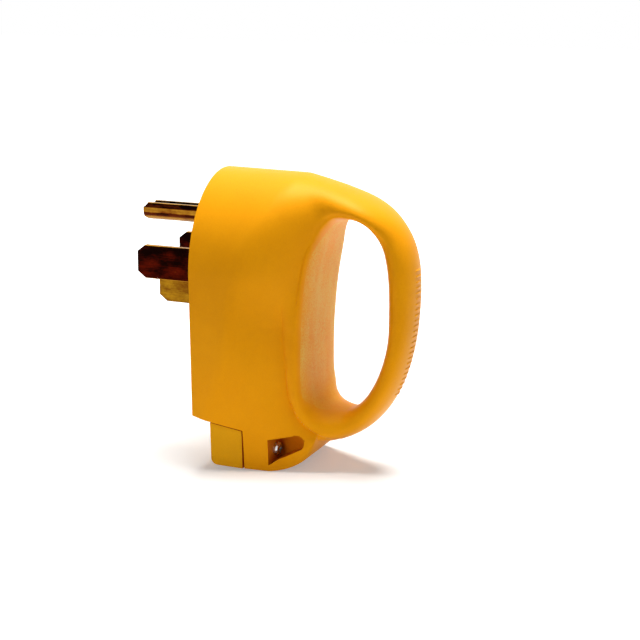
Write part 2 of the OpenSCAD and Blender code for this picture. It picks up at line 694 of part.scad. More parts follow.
clamp_rounding = 3;
module cord_clamp() color(insert_yellow) {
    back = parting_x - clamp_gap / 2;
    foot = foot_z(clamp_front_x + clamp_rounding);
    difference() {
        intersection() {
            // plan outline, with the same taper as the neck's sides
            translate([0, 0, -neck_bottom]) linear_extrude(neck_bottom) polygon([
                for (p = [[clamp_front_x, -1], [back, -1], [back, 1], [clamp_front_x, 1]])
                    [p[0], p[1] * flank(p[0], -neck_bottom)]]);
            // side outline under the housing's sloping underside
            translate([0, body_half, 0]) rotate([90, 0, 0]) linear_extrude(body_w) union() {
                translate([clamp_front_x + clamp_rounding, foot + clamp_rounding])
                    circle(clamp_rounding);
                polygon([
                    [clamp_front_x, foot + clamp_rounding],
                    [clamp_front_x + clamp_rounding, foot + clamp_rounding],
                    [clamp_front_x + clamp_rounding, foot], [back, foot_z(back)],
                    [back, -body_bottom - bottom_slope * back - clamp_gap],
                    [clamp_front_x, -body_bottom - bottom_slope * clamp_front_x - clamp_gap]]);
            }
        }
        translate([cord_x, 0, -neck_bottom - 1]) cylinder(h = neck_bottom, r = cord_r);
        cord_grooves();
        for (side = [-1, 1]) {
            bar(clamp_front_x - 1, parting_x, clamp_screw_d / 2 + pass_clear,
                side * clamp_screw_y, clamp_screw_z);
            translate([clamp_front_x - 1, side * clamp_screw_y, clamp_screw_z]) rotate([0, 90, 0])
                cylinder(h = nut_seat_x - clamp_front_x + 1, d = (nut_af + 0.3) / cos(30), $fn = 6);
        }
    }
}
module clamp_screw(side) pan_screw(clamp_tip_x, neck_corner_x, side * clamp_screw_y, clamp_screw_z,
    clamp_screw_d, clamp_head_d, clamp_head_t);
module clamp_screw_left() clamp_screw(-1);
module clamp_screw_right() clamp_screw(1);
module clamp_nuts() color(steel) {
    for (side = [-1, 1])
        difference() {
            translate([nut_seat_x - nut_t, side * clamp_screw_y, clamp_screw_z]) rotate([0, 90, 0])
                cylinder(h = nut_t, d = nut_af / cos(30), $fn = 6);
            bar(nut_seat_x - nut_t - 1, nut_seat_x + 1, clamp_screw_d / 2 + shaft_clear,
                side * clamp_screw_y, clamp_screw_z);
        }
}

housing();
face_insert();
terminal_block();
ground_pin();
neutral_blade();
line_blade_left();
line_blade_right();
ground_wire_clamp();
neutral_wire_clamp();
line_wire_clamp_left();
line_wire_clamp_right();
ground_terminal_screw();
neutral_terminal_screw();
line_terminal_screw_left();
line_terminal_screw_right();
face_screws();
block_screws();
cord_clamp();
clamp_screw_left();
clamp_screw_right();
clamp_nuts();
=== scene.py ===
import math
import bpy
import bmesh
from mathutils import Matrix, Vector


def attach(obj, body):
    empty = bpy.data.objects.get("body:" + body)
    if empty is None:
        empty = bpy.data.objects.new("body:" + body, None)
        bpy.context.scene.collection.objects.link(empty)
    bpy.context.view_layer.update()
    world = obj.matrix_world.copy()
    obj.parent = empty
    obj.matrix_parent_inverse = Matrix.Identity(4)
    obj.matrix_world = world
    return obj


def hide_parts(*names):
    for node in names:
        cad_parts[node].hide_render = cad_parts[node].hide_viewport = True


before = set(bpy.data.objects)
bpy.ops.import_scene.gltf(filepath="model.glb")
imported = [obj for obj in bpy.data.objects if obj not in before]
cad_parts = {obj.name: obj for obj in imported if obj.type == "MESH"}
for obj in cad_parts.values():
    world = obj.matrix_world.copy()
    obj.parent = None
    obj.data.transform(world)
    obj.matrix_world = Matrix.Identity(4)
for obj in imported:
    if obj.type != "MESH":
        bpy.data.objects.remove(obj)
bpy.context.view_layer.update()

# ---- Camera ----
# A long lens on the plug's left, a little behind it and above it, level but for a slight roll.
view_azimuth, view_elevation, view_roll = (math.radians(a) for a in (22.43, 13.24, 0.64))
view_distance = 0.64765
view_target = Vector((0.04898, 0, -0.02535))

away = Vector((math.sin(view_azimuth) * math.cos(view_elevation),
               -math.cos(view_azimuth) * math.cos(view_elevation), math.sin(view_elevation)))
level_right = Vector((math.cos(view_azimuth), math.sin(view_azimuth), 0))
level_up = away.cross(level_right)
right = level_right * math.cos(view_roll) + level_up * math.sin(view_roll)
up = level_up * math.cos(view_roll) - level_right * math.sin(view_roll)
stand = view_target + away * view_distance

lens = bpy.data.cameras.new("camera")
lens.sensor_width = 36
lens.lens = 76.72
lens.clip_start = 0.01
lens.clip_end = 20
camera = bpy.data.objects.new("camera", lens)
camera.matrix_world = Matrix(((right.x, up.x, away.x, stand.x), (right.y, up.y, away.y, stand.y),
                              (right.z, up.z, away.z, stand.z), (0, 0, 0, 1)))
bpy.context.scene.collection.objects.link(camera)
bpy.context.scene.camera = camera
bpy.context.scene.view_settings.view_transform = "Standard"


# ---- Housing ----
# One injection moulding in yellow glass-filled nylon: the shell, the hoop-shaped pull handle and
# the fixed half of the cord outlet. It is a ring of straight cuts round the finger opening, each
# running from the opening's edge to the outer outline. All its sizes here are in millimetres.

body_half, body_top, body_bottom = 40.1, 45.0, 68.4
crown_z = -0.8                            # where the front outline's arch springs
crown_h = body_top - crown_z
side_draft, waist = 0.035, 0.333          # how far a side draws in per mm, downwards and backwards
parting_x, neck_corner_x, neck_bottom = 23.1, 34.0, 95.0
parting_slope, foot_slope = 0.277, 0.085  # of the body's underside, of the neck's foot
hoop_half, grip_half = 24.3, 12.5
opening_x, opening_z, front_drop = 65.2, -27.0, 15.0
opening_front, opening_back, opening_top, opening_foot = 16.4, 19.8, 51.9, 39.3
quarter_full = (2.25, 3.6, 1.65, 2.9)     # how square: front top, front foot, back foot, back top
grip_x, grip_z = opening_x + opening_back + 13, -8.0
grip_share = 0.62                         # where the round grip ends, along each handle curve
root = (opening_x - 11.4, opening_z - opening_foot - 17.1)


def mix(a, b, f):
    return a + (b - a) * f


def smooth(f):
    c = min(max(f, 0), 1)
    return c * c * (3 - 2 * c)


def rounding(f, fullness=2.0):
    """Rises from 0 to 1 as a rounded edge does: a quarter of a circle where fullness is 2."""
    c = min(max(f, 0), 1)
    return max(0, 1 - (1 - c) ** fullness) ** (1 / fullness)


def round_min(a, b, k):
    """The smaller of a and b, with their corner rounded where they differ by less than k."""
    h = max(k - abs(a - b), 0) / k
    return min(a, b) - h * h * k / 4


def bezier(p, t):
    w = ((1 - t) ** 3, 3 * (1 - t) ** 2 * t, 3 * (1 - t) * t * t, t ** 3)
    return tuple(sum(w[i] * p[i][j] for i in range(4)) for j in (0, 1))


def polar(x, z, length, degrees):
    a = math.radians(degrees)
    return (x + length * math.cos(a), z + length * math.sin(a))


def foot_z(x):
    """Height of the neck's sloping foot."""
    return -neck_bottom + foot_slope * (neck_corner_x - x)


def underside_z(x):
    """Height of the body's sloping underside, over the cord clamp."""
    return -body_bottom - parting_slope * x


crease_top = (41.0, body_top - 0.65)
upper = (crease_top, polar(*crease_top, 46.5, -11.8), (grip_x, grip_z + 31), (grip_x, grip_z))


def outer_outline():
    """Points (x, z, stretch, share) once round the outer outline."""
    def line(a, b, n, stretch):
        return [(mix(a[0], b[0], i / n), mix(a[1], b[1], i / n), stretch, i / n) for i in range(n)]

    def curve(p, n, stretch):
        return [(*bezier(p, i / n), stretch, i / n) for i in range(n)]
    lower = ((grip_x, grip_z), (grip_x, grip_z - 42), polar(*root, 30, 6.5), root)
    back = (root, (root[0] - 1.4, root[1] - 5.5), (neck_corner_x + 10.6, 0.5 - neck_bottom),
            (neck_corner_x, -neck_bottom))
    corners = ((neck_corner_x, -neck_bottom), (parting_x, foot_z(parting_x)),
               (parting_x, underside_z(parting_x)), (0, -body_bottom))
    points = line((0, -body_bottom), (0, crown_z), 40, "front")
    points += [(0, crown_z + crown_h * math.sin(math.pi * i / 80), "front", 0) for i in range(40)]
    points += line((0, body_top), crease_top, 26, "top")
    points += curve(upper, 72, "upper") + curve(lower, 66, "lower") + curve(back, 26, "neck_back")
    for a, b, n in zip(corners, corners[1:], (10, 18, 18)):
        points += line(a, b, n, "under")
    return points


def opening_point(a):
    """A point on the finger opening's edge, a superellipse whose front half sits lower."""
    ca, sa = math.cos(a), math.sin(a)
    ahead = ca < 0
    n = quarter_full[(0 if sa > 0 else 1) if ahead else (2 if sa < 0 else 3)]
    drop = front_drop if ahead else 0
    reach = opening_front if ahead else opening_back
    rise = opening_top + drop if sa > 0 else opening_foot - drop
    return (opening_x + math.copysign(reach * abs(ca) ** (2 / n), ca),
            opening_z - drop + math.copysign(rise * abs(sa) ** (2 / n), sa))


def inner_point(o):
    """Where the cut that ends at outer point o leaves the opening's edge."""
    dz, dx = o[1] - opening_z, o[0] - opening_x
    height = body_top - opening_z if dz > 0 else neck_bottom + opening_z
    length = opening_x if dx < 0 else grip_x - opening_x
    return opening_point(math.atan2(dz / height, dx / length))


def crease_x(z):
    """Where the flat side ends and the waist behind it begins: further back the higher it is."""
    rise = z + 18
    return 17.5 * smooth((z + 98) / 72) + 0.36 * (rise + math.hypot(rise, 8)) / 2


def top_z(x):
    """Height of the outer outline above x, from the mating face to the grip."""
    if x < crease_top[0]:
        return mix(body_top, crease_top[1], x / crease_top[0])
    low, high = 0.0, 1.0
    for _ in range(30):
        middle = (low + high) / 2
        if bezier(upper, middle)[0] < x:
            low = middle
        else:
            high = middle
    return bezier(upper, low)[1]


def flank(x, z):
    """Half the body's width, handle apart. The crease is rounded, and sharper higher up."""
    d, r = x - crease_x(z), mix(3.0, 0.8, smooth((z - 8) / 24))
    behind = max(0, d) if crease_x(z) < r or abs(d) > r else (d + r) ** 2 / (4 * r)
    return body_half - side_draft * max(0, crown_z - z) - waist * behind


def half_width(o, p, s):
    """Half the moulding's width at share s of the cut from inner point p to outer point o."""
    kind, share = o[2], o[3]
    # how far the cut belongs to the round grip, the opening's foot and the opening's top
    grip = 0
    if kind == "upper":
        grip = smooth(share / grip_share)
    elif kind == "lower":
        grip = 1 - smooth((share - grip_share) / (1 - grip_share))
    low = smooth((opening_z - 31 - p[1]) / 9)
    high = smooth((p[1] - 4) / 16)
    x, z = mix(p[0], o[0], s), mix(p[1], o[1], s)
    cut = math.hypot(o[0] - p[0], o[1] - p[1])
    d = s * cut
    rim_depth = mix(mix(mix(3.4, 5, high), 7.5, low), cut / 2, grip)
    rim_full = mix(mix(mix(3, 2.3, high), 2.2, low), 2, grip)
    if p[1] > opening_z:
        hoop = mix(hoop_half, grip_half, grip)
    else:
        hoop = mix(hoop_half, grip_half, smooth((p[0] - opening_x + 19) / 28))
    # the hoop's front leg stands a little proud; the side swells out behind its valley
    wider = 11 * min(1, max(0, (p[0] - opening_x + 15) / 15.8)) ** 1.6 if p[1] < opening_z else 0

    def side(leg_depth):
        leg = hoop * rounding((leg_depth + wider + 0.8 - d) / 2)
        swell = hoop - 0.7 * (1 - grip) + (1 - grip) * 1.1 * max(0, d - leg_depth - wider)
        return -round_min(-leg, -round_min(flank(x, z), swell, 9), 0.8)
    upper_leg, lower_leg = 3.6, 9.5 - 2.4 * smooth((-30 - p[1]) / 30)
    wide = hoop
    if grip <= 0.999:
        wide = mix(side(upper_leg), side(lower_leg), smooth((-2 - p[1]) / 26))
    # the outer edge is left square under the body and rounds over the arch, neck and handle
    if kind == "under":
        q = 1
    elif kind in ("lower", "neck_back"):
        q = mix(2, math.sqrt(share) if kind == "neck_back" else 0, s)
    else:
        q = mix((top_z(x) - z) / crown_h, mix(2, 0, s), grip)
    return wide * rounding(d / rim_depth, rim_full) * rounding(q)


def new_object(name, bm):
    """An object in the scene with bm's mesh, its faces turned outwards."""
    mesh = bpy.data.meshes.new(name)
    bmesh.ops.recalc_face_normals(bm, faces=bm.faces)
    bm.to_mesh(mesh)
    bm.free()
    obj = bpy.data.objects.new(name, mesh)
    bpy.context.scene.collection.objects.link(obj)
    return obj


def ring_loft():
    """The housing's outside. Each cut's points lie closer together at its ends, where it rounds,
    and its two sides share a point where it is thinner than least."""
    steps, least = 56, 0.005
    bm = bmesh.new()
    rows = []
    shares = [(1 - math.cos(math.pi * k / steps)) / 2 for k in range(steps + 1)]
    for o in outer_outline():
        p = inner_point(o)
        sides = []
        for side in (-1, 1):
            line = []
            for k, s in enumerate(shares):
                y = half_width(o, p, s)
                if side > 0 and (k == 0 or y < least):
                    line.append(sides[0][k])
                else:
                    co = (mix(p[0], o[0], s), side * (y if y >= least else 0), mix(p[1], o[1], s))
                    line.append(bm.verts.new([c / 1000 for c in co]))
            sides.append(line)
        rows.append(sides)

    def face(*verts):
        ring = [v for i, v in enumerate(verts) if v is not verts[i - 1]]
        if len(set(ring)) > 2:
            bm.faces.new(ring)
    for i, (a, b) in enumerate(rows):
        c, d = rows[(i + 1) % len(rows)]
        for k in range(steps):
            face(a[k], a[k + 1], c[k + 1], c[k])
            face(b[k], d[k], d[k + 1], b[k + 1])
        face(a[-1], b[-1], d[-1], c[-1])
    return new_object("housing_moulding", bm)


def skin(name, rings):
    """A closed solid over equal rings of points in millimetres."""
    bm = bmesh.new()
    rows = [[bm.verts.new([c / 1000 for c in p]) for p in ring] for ring in rings]
    for a, b in zip(rows, rows[1:]):
        for k in range(len(a)):
            bm.faces.new((a[k - 1], a[k], b[k], b[k - 1]))
    bm.faces.new(rows[0])
    bm.faces.new(rows[-1])
    return new_object(name, bm)


def mouth_ring(x):
    """The mouth that takes the face insert: the housing's front outline, a wall's width in."""
    inset, n = 3.1, 72
    foot = -body_bottom + inset
    foot_half = body_half - side_draft * (crown_z - foot) - inset
    arch = [(x, (body_half - inset) * math.cos(math.pi * i / n),
             crown_z + (crown_h - inset) * math.sin(math.pi * i / n)) for i in range(n + 1)]
    return [(x, foot_half, foot)] + arch + [(x, -foot_half, foot)]


def chamber_ring(x):
    """The wiring chamber's cross-section, which gets lower and narrower towards the handle."""
    taper_x, chamber_back = 18, opening_x - opening_front - 4
    f = max(0, (x - taper_x) / (chamber_back - taper_x))
    top, foot = mix(body_top - 4, 16, f ** 2.6), -mix(body_bottom - 4.4, 56, f ** 1.5)

    def half(z):
        return flank(x, z) - 3.5 - 10 * smooth((x - 20) / 24)
    arch = []
    for i in range(33):
        a = math.pi * i / 32
        z = crown_z + (top - crown_z) * math.sin(a)
        arch.append((x, half(z) * math.cos(a), z))
    return [(x, half(foot), foot)] + arch + [(x, -half(foot), foot)]


def lathe(name, profile, origin, axis, n):
    """A solid of revolution: profile (along, radius) in millimetres, closed on its axis."""
    turn = Vector((0, 0, 1)).rotation_difference(Vector(axis)).to_matrix()
    rings = []
    for along, radius in profile:
        rings.append([Vector(origin) + turn @ Vector((radius * math.cos(2 * math.pi * i / n),
                      radius * math.sin(2 * math.pi * i / n), along)) for i in range(n)])
    return skin(name, rings)


def apply_modifiers(obj):
    graph = bpy.context.evaluated_depsgraph_get()
    done = bpy.data.meshes.new_from_object(obj.evaluated_get(graph))
    obj.modifiers.clear()
    obj.data = done


def cut_away(obj, cutters):
    for cutter in cutters:
        step = obj.modifiers.new("cut", "BOOLEAN")
        step.operation, step.solver, step.object = "DIFFERENCE", "EXACT", cutter
        apply_modifiers(obj)
        bpy.data.objects.remove(cutter)


def soften(obj, width, angle):
    """Small moulded or tumbled round, width in millimetres, on every edge sharper than angle."""
    step = obj.modifiers.new("round", "BEVEL")
    step.width, step.segments = width / 1000, 2
    step.limit_method, step.angle_limit = "ANGLE", math.radians(angle)
    step.use_clamp_overlap = True


def shade(obj):
    """Smooth shading, with edges sharper than 32 degrees kept crisp."""
    for polygon in obj.data.polygons:
        polygon.use_smooth = True
    obj.data.set_sharp_from_angle(angle=math.radians(32))


bore_r, bore_top, groove_deep, groove_wide, groove_pitch = 12.5, -62, 0.8, 1.6, 4.6
clamp_screw_y, clamp_screw_z, clamp_hole_r = 17.0, 8.9 - neck_bottom, 2.39


def cord_bore():
    """The bore that the cord passes through, with the three grooves that bite into its jacket."""
    profile = [(-neck_bottom - 1, bore_r)]
    for i in range(3):
        z = 4 + groove_pitch * i - neck_bottom
        profile += [(z, bore_r), (z, bore_r + groove_deep),
                    (z + groove_wide, bore_r + groove_deep), (z + groove_wide, bore_r)]
    return lathe("bore", profile + [(bore_top, bore_r)], (parting_x, 0, 0), (0, 0, 1), 96)


def clamp_screw_hole(side, front, back):
    return lathe("hole", [(front, clamp_hole_r), (back, clamp_hole_r)],
                 (0, side * clamp_screw_y, clamp_screw_z), (1, 0, 0), 40)


def recess_outline():
    """Side outline of a screwdriver recess: a round end and a floor that slopes to the wall."""
    centre, r = (neck_corner_x + 12.4, clamp_screw_z + 5.5), 3.9
    arc = [polar(*centre, r, a) for a in range(95, -80, -5)]
    floor = [(neck_corner_x + 10.3, clamp_screw_z), (neck_corner_x + 5, clamp_screw_z - 2.6),
             (neck_corner_x, clamp_screw_z - 5.95)]
    return [(neck_corner_x, clamp_screw_z + 6.9)] + arc + floor


recess_inner_y, recess_lean = 12, 0.3


def recess(side):
    """The recess as a solid: its inner wall leans out towards the round end."""
    inner = [(x, side * (recess_inner_y + recess_lean * (x - neck_corner_x)), z)
             for x, z in recess_outline()]
    return skin("recess", [inner, [(x, side * 45, z) for x, y, z in inner]])


housing = ring_loft()
soften(housing, 0.5, 50)
apply_modifiers(housing)
cutters = [skin("mouth", [mouth_ring(x) for x in (-1, 6)]),
           skin("chamber", [chamber_ring(x) for x in (5, 14, 20, 24, 28, 32, 36, 40, 44.5)]),
           cord_bore()]
for side in (-1, 1):
    cutters += [recess(side), clamp_screw_hole(side, parting_x - 1, neck_corner_x + 1)]
cut_away(housing, cutters)


def grip_ribs(obj):
    """Low rounded ribs across the grip's outer face. Each is a closed form sunk into it."""
    rib_r, rib_sink, rib_half, rib_pitch, rib_n = 0.65, 0.2, 3.6, 2.6, 24
    lengthwise, around = 12, 10
    stations = [(o, inner_point(o)) for o in outer_outline() if o[2] in ("upper", "lower")]

    def cut_at(z):
        """The ring's cut whose outer end is at height z, as its outer and inner points."""
        for (a, p), (b, q) in zip(stations, stations[1:]):
            if a[1] >= z > b[1]:
                f = (a[1] - z) / (a[1] - b[1])
                share = mix(a[3], b[3] if b[2] == a[2] else 1, f)
                outer = (mix(a[0], b[0], f), z, a[2], share)
                return outer, (mix(p[0], q[0], f), mix(p[1], q[1], f))
    bm = bmesh.new()
    bm.from_mesh(obj.data)
    # the cuts for the chamber and the mouth can leave out a face, which is put back here
    bmesh.ops.holes_fill(bm, edges=[edge for edge in bm.edges if edge.is_boundary])
    for i in range(rib_n):
        o, p = cut_at(opening_z + (i - (rib_n - 1) / 2) * rib_pitch)
        length = math.hypot(o[0] - p[0], o[1] - p[1])
        outward = Vector(((o[0] - p[0]) / length, 0, (o[1] - p[1]) / length))
        along = Vector((-outward.z, 0, outward.x))
        rings = []
        for k in range(lengthwise + 1):
            y = rib_half * math.sin(math.pi * (k / lengthwise - 0.5))
            # the share of the cut at which the grip is y wide, on its outer side
            low, high = 0.5, 1.0
            for _ in range(24):
                s = (low + high) / 2
                low, high = (s, high) if half_width(o, p, s) > abs(y) else (low, s)
            out = Vector((0, y / grip_half, 0)) + outward
            centre = Vector((mix(p[0], o[0], low), y, mix(p[1], o[1], low)))
            centre = centre - out.normalized() * rib_sink
            radius = rib_r * math.sqrt(max(0.0001, 1 - (y / rib_half) ** 4))
            ring = []
            for a in (2 * math.pi * j / around for j in range(around)):
                co = centre + radius * (math.cos(a) * along + math.sin(a) * out)
                ring.append(bm.verts.new(co / 1000))
            rings.append(ring)
        for a, b in zip(rings, rings[1:]):
            for j in range(around):
                bm.faces.new((a[j - 1], a[j], b[j], b[j - 1]))
        bm.faces.new(rings[0])
        bm.faces.new(rings[-1])
    bmesh.ops.recalc_face_normals(bm, faces=bm.faces)
    bm.to_mesh(obj.data)
    bm.free()


grip_ribs(housing)
shade(housing)


def linear(text):
    """sRGB hex to a linear colour."""
    values = [int(text[i:i + 2], 16) / 255 for i in (0, 2, 4)]
    return tuple(v / 12.92 if v <= 0.04045 else ((v + 0.055) / 1.055) ** 2.4 for v in values) + (1,)


def new_material(name):
    """A material with its node tree and its Principled shader."""
    material = bpy.data.materials.new(name)
    material.use_nodes = True
    return material, material.node_tree, material.node_tree.nodes["Principled BSDF"]


def add(tree, kind, values=None, inputs=None):
    """Adds a node, sets its properties, then sets or links its inputs."""
    node = tree.nodes.new(kind)
    for key, value in (values or {}).items():
        setattr(node, key, value)
    for key, value in (inputs or {}).items():
        if isinstance(value, bpy.types.NodeSocket):
            tree.links.new(value, node.inputs[key])
        else:
            node.inputs[key].default_value = value
    return node


def coat(obj, *materials):
    """Gives a mesh its materials, for its faces' indices 0, 1 and so on."""
    obj.data.materials.clear()
    for material in materials:
        obj.data.materials.append(material)


def moulded_nylon(name, lit, deep, roughness, speckle=0.22, painted_sheen=None):
    """Glass-filled nylon from a spark-eroded mould: satin, with a fine even grain. A painted sheen
    is a pale colour, a painted reflection, that lies over it in upright patches and fades out
    towards the foot."""
    material, tree, shader = new_material(name)
    place = add(tree, "ShaderNodeTexCoord").outputs["Object"]
    # flow marks: faint clouds about 25 mm across
    clouds = add(tree, "ShaderNodeTexNoise", None, {"Vector": place, "Scale": 40.0, "Detail": 3.0})
    # grain: pits of the mould's finish, 0.2 mm across and drawn 0.7 mm across so that they show
    grain = add(tree, "ShaderNodeTexNoise", None,
                {"Vector": place, "Scale": 1400.0, "Detail": 2.0, "Roughness": 0.6})
    fine = add(tree, "ShaderNodeMapRange", None,
               {"Value": grain.outputs["Fac"], "From Min": 0.3, "From Max": 0.7,
                "To Min": -speckle, "To Max": speckle})
    shift = add(tree, "ShaderNodeMath", {"operation": "ADD", "use_clamp": True},
                {0: clouds.outputs["Fac"], 1: fine.outputs["Result"]})
    colour = add(tree, "ShaderNodeMix", {"data_type": "RGBA"},
                 {"Factor": shift.outputs[0], 6: linear(deep), 7: linear(lit)})
    if painted_sheen:
        # painted sheen in patches 8 mm wide and 25 mm high, whole above z = -40 mm and gone at -80
        # mm
        upright = add(tree, "ShaderNodeMapping", None, {"Vector": place, "Scale": (120, 120, 40)})
        patches = add(tree, "ShaderNodeTexNoise", None,
                      {"Vector": upright.outputs[0], "Scale": 1.0, "Detail": 4.0})
        sheen_patchiness = add(tree, "ShaderNodeMath", {"operation": "MULTIPLY_ADD"},
                      {0: fine.outputs["Result"], 1: 1.2, 2: patches.outputs["Fac"]})
        thick = add(tree, "ShaderNodeMapRange", None,
                    {"Value": sheen_patchiness.outputs[0], "From Min": 0.25, "From Max": 0.8})
        level = add(tree, "ShaderNodeSeparateXYZ", None, {0: place})
        fade = add(tree, "ShaderNodeMapRange", None,
                   {"Value": level.outputs["Z"], "From Min": -0.08, "From Max": -0.04})
        share = add(tree, "ShaderNodeMath", {"operation": "MULTIPLY"},
                    {0: thick.outputs["Result"], 1: fade.outputs["Result"]})
        colour = add(tree, "ShaderNodeMix", {"data_type": "RGBA"},
                     {"Factor": share.outputs[0], 6: colour.outputs[2], 7: linear(painted_sheen)})
    tree.links.new(colour.outputs[2], shader.inputs["Base Color"])
    gloss = add(tree, "ShaderNodeMapRange", None,
                {"Value": grain.outputs["Fac"], "To Min": roughness - 0.06,
                 "To Max": roughness + 0.08})
    tree.links.new(gloss.outputs["Result"], shader.inputs["Roughness"])
    bump = add(tree, "ShaderNodeBump", None,
               {"Height": grain.outputs["Fac"], "Strength": 0.3, "Distance": 0.0002})
    tree.links.new(bump.outputs["Normal"], shader.inputs["Normal"])
    # the face-on reflection is weak and takes the pigment's tint, so only grazing views go white
    shader.inputs["IOR"].default_value = 1.53
    shader.inputs["Specular IOR Level"].default_value = 0.18
    shader.inputs["Specular Tint"].default_value = linear("FFC648")
    return material


# as moulded: a warm yellow satin whose highlights are broad and soft
yellow_nylon = moulded_nylon("yellow_nylon", "F2A20E", "E8950A", 0.42)
# the walls of the screwdriver recesses take a painted shade, a darker orange with a duller gloss,
# so the recesses look deep orange as if in shade
painted_shade_recess_nylon = moulded_nylon("painted_shade_recess_nylon", "DC7E0A", "C86C06", 0.55)
# the opening's front wall has a pale painted sheen in patches, a painted reflection of the white
# surroundings seen at a grazing angle
painted_sheen_nylon = moulded_nylon("painted_sheen_nylon", "F2A20E", "E8950A", 0.5, 0.3, "ECBE48")
coat(housing, yellow_nylon, painted_shade_recess_nylon, painted_sheen_nylon)


def from_segment(x, z, a, b):
    """Distance of a point from the segment from a to b."""
    dx, dz = b[0] - a[0], b[1] - a[1]
    share = ((x - a[0]) * dx + (z - a[1]) * dz) / (dx ** 2 + dz ** 2)
    share = min(max(share, 0), 1)
    return math.hypot(x - mix(a[0], b[0], share), z - mix(a[1], b[1], share))


def in_recess(x, z):
    """True inside the recess's outline or within 0.15 mm of it."""
    outline = recess_outline()
    inside = False
    for a, b in zip(outline, outline[1:] + outline[:1]):
        if from_segment(x, z, a, b) < 0.15:
            return True
        if (a[1] > z) != (b[1] > z) and x < mix(a[0], b[0], (z - a[1]) / (b[1] - a[1])):
            inside = not inside
    return inside


# the painted sheen ends along one row of the ring's faces, at this share of its cuts
sheen_share, sheen_half = 0.0195, 21
sheen_front, sheen_back = opening_x - opening_front - 2, opening_x
rim = []
stations = [(inner_point(o), o) for o in outer_outline()]
for (p, o), (q, _) in zip(stations, stations[1:] + stations[:1]):
    rim.append((p, q, math.hypot(o[0] - p[0], o[1] - p[1])))
for polygon in housing.data.polygons:
    x, y, z = (c * 1000 for c in polygon.center)
    if z < clamp_screw_z + 10:
        # painted shade: the faces between the recess's inner wall and the housing's own side, 0.4
        # mm short of it, take the darker material
        if recess_inner_y - 1 < abs(y) < flank(x, z) - 0.4 and in_recess(x, z):
            polygon.material_index = 1
    # painted sheen: faces on the opening's front wall, in a thin row along its edge, take the pale
    # sheen material
    elif sheen_front < x < sheen_back and abs(y) < sheen_half:
        share, foremost = min((from_segment(x, z, p, q) / cut, p[0]) for p, q, cut in rim)
        if share < sheen_share and foremost < sheen_back + 3:
            polygon.material_index = 2
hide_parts("housing")
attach(housing, "head")


# ---- Face insert ----
# The plate that closes the housing's mouth, moulded in a slightly duller nylon, with a slot for
# each blade. Two screws at the top and two hooks at the foot hold it.

dull_nylon = moulded_nylon("dull_yellow_nylon", "E8A416", "DC9A10", 0.46)


def dressed(node, material, width):
    """A CAD node as it is, with its flat faces merged, its edges eased and its finish on."""
    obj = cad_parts[node]
    merge = obj.modifiers.new("merge", "DECIMATE")
    merge.decimate_type, merge.angle_limit = "DISSOLVE", math.radians(0.5)
    soften(obj, width, 35)
    coat(obj, material)


dressed("face_insert", dull_nylon, 0.2)


# ---- Cord clamp ----
# The loose half of the cord outlet, in the insert's nylon. Two screws that thread into nuts in its
# front pull it back against the cord, which leaves an open joint on two sides.

joint_gap = 0.75
clamp_back = parting_x - joint_gap
clamp_front = parting_x - 14.8
clamp_round = 3.0
foot_draft = 0.045    # how much steeper than the neck's its foot slopes
nut_seat_x, nut_width = parting_x - 6.25, 9.0


def clamp_ring(x):
    """The clamp's cross-section at x: nearly flush with the flank, under its sloping underside."""
    ahead = max(0, clamp_front + clamp_round - x)
    lifted = clamp_round - math.sqrt(clamp_round ** 2 - ahead ** 2)
    low, high = foot_z(x) + foot_draft * (clamp_back - x) + lifted, underside_z(x) - joint_gap
    levels = [mix(low, high, i / 14) for i in range(15)]
    # the sides follow the housing's draft by half
    halves = [mix(flank(x, z), flank(x, 9 - neck_bottom), 0.5) for z in levels]
    left = [(x, -y, z) for y, z in zip(halves, levels)]
    return [(x, y, z) for y, z in zip(halves, levels)] + left[::-1]


toe = [clamp_front + clamp_round * (1 - math.cos(math.pi * i / 24)) for i in range(12)]
straight = [mix(toe[-1], clamp_back, i / 6) for i in range(1, 7)]
clamp = skin("cord_clamp_block", [clamp_ring(x) for x in toe + straight])
cutters = [cord_bore()]
for side in (-1, 1):
    nut_corner_r = nut_width / 2 / math.cos(math.pi / 6)
    pocket = [(x, nut_corner_r) for x in (clamp_front - 1, nut_seat_x)]
    cutters += [clamp_screw_hole(side, clamp_front - 1, parting_x),
                lathe("pocket", pocket, (0, side * clamp_screw_y, clamp_screw_z), (1, 0, 0), 6)]
cut_away(clamp, cutters)
soften(clamp, 0.35, 40)
apply_modifiers(clamp)
shade(clamp)
# the two faces inside the joint take a painted shade, a dark brown nylon, so the joint shows as a
# dark line
painted_shade_joint_nylon = moulded_nylon("painted_shade_joint_nylon", "B4480C", "963A08", 0.6)
coat(clamp, dull_nylon, painted_shade_joint_nylon)
on_face = 0.04
# painted shade: the clamp's back face and top face, inside the joint, take the dark brown material
for polygon in clamp.data.polygons:
    x, z = polygon.center.x * 1000, polygon.center.z * 1000
    if x > clamp_back - on_face or z > underside_z(x) - joint_gap - on_face:
        polygon.material_index = 1
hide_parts("cord_clamp")
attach(clamp, "clamp_block")
